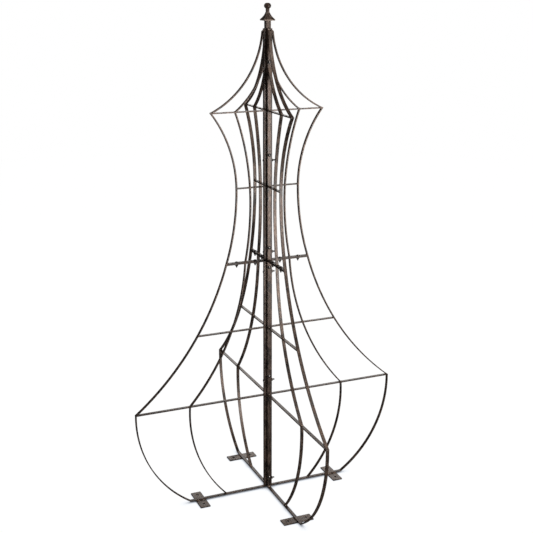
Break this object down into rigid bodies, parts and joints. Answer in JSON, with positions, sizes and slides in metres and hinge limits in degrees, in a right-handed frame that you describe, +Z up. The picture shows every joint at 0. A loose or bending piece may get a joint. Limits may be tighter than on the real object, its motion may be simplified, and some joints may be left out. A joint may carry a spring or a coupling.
{
  "type": "garden obelisk",
  "caption": "Free-standing garden obelisk: a cross of curved flat-bar wings on a central post, bolted in an upper and a lower tier, with foot plates and a finial.",
  "frame": {"origin": "on the ground, on the axis of the central post", "axes": "+Z up along the post; the wings lie along X and Y; the front wing points to -Y"},
  "size_m": [1.0774, 1.0774, 1.9],
  "materials": {
    "strip_bronze": "dark brown-black powder coat, mottled and rubbed to a warm grey-bronze on edges",
    "bar_bronze": "dark brown-black powder coat with a rubbed bronze upper face",
    "post_bronze": "dark powder coat, mottled reddish brown, dull sheen",
    "plate_bronze": "dark powder coat, scuffed grey",
    "finial_bronze": "dark bronze powder coat, edges rubbed",
    "core_steel": "plain dark coat, hidden inside the post",
    "bolt_black": "black oxide fasteners, satin"
  },
  "bodies": {
    "root": {"right_foot_plate": "plate_bronze", "right_lower_post_bar": "post_bronze", "right_lower_outer_strip": "strip_bronze", "right_lower_inner_strip": "strip_bronze", "right_wide_bar": "bar_bronze", "right_low_bar": "bar_bronze", "right_lower_joint_bar": "bar_bronze", "right_upper_post_bar": "post_bronze", "right_upper_outer_strip": "strip_bronze", "right_upper_inner_strip": "strip_bronze", "right_neck_bar": "bar_bronze", "right_crown_bar": "bar_bronze", "right_upper_joint_bar": "bar_bronze", "back_foot_plate": "plate_bronze", "back_lower_post_bar": "post_bronze", "back_lower_outer_strip": "strip_bronze", "back_lower_inner_strip": "strip_bronze", "back_wide_bar": "bar_bronze", "back_low_bar": "bar_bronze", "back_lower_joint_bar": "bar_bronze", "back_upper_post_bar": "post_bronze", "back_upper_outer_strip": "strip_bronze", "back_upper_inner_strip": "strip_bronze", "back_neck_bar": "bar_bronze", "back_crown_bar": "bar_bronze", "back_upper_joint_bar": "bar_bronze", "left_foot_plate": "plate_bronze", "left_lower_post_bar": "post_bronze", "left_lower_outer_strip": "strip_bronze", "left_lower_inner_strip": "strip_bronze", "left_wide_bar": "bar_bronze", "left_low_bar": "bar_bronze", "left_lower_joint_bar": "bar_bronze", "left_upper_post_bar": "post_bronze", "left_upper_outer_strip": "strip_bronze", "left_upper_inner_strip": "strip_bronze", "left_neck_bar": "bar_bronze", "left_crown_bar": "bar_bronze", "left_upper_joint_bar": "bar_bronze", "front_foot_plate": "plate_bronze", "front_lower_post_bar": "post_bronze", "front_lower_outer_strip": "strip_bronze", "front_lower_inner_strip": "strip_bronze", "front_wide_bar": "bar_bronze", "front_low_bar": "bar_bronze", "front_lower_joint_bar": "bar_bronze", "front_upper_post_bar": "post_bronze", "front_upper_outer_strip": "strip_bronze", "front_upper_inner_strip": "strip_bronze", "front_neck_bar": "bar_bronze", "front_crown_bar": "bar_bronze", "front_upper_joint_bar": "bar_bronze", "lower_core_tube": "core_steel", "upper_core_tube": "core_steel", "finial_cap": "finial_bronze", "finial_ball": "finial_bronze", "post_bolts": "bolt_black", "post_nuts": "bolt_black", "joint_bolts": "bolt_black", "joint_nuts": "bolt_black"}
  },
  "joints": []
}
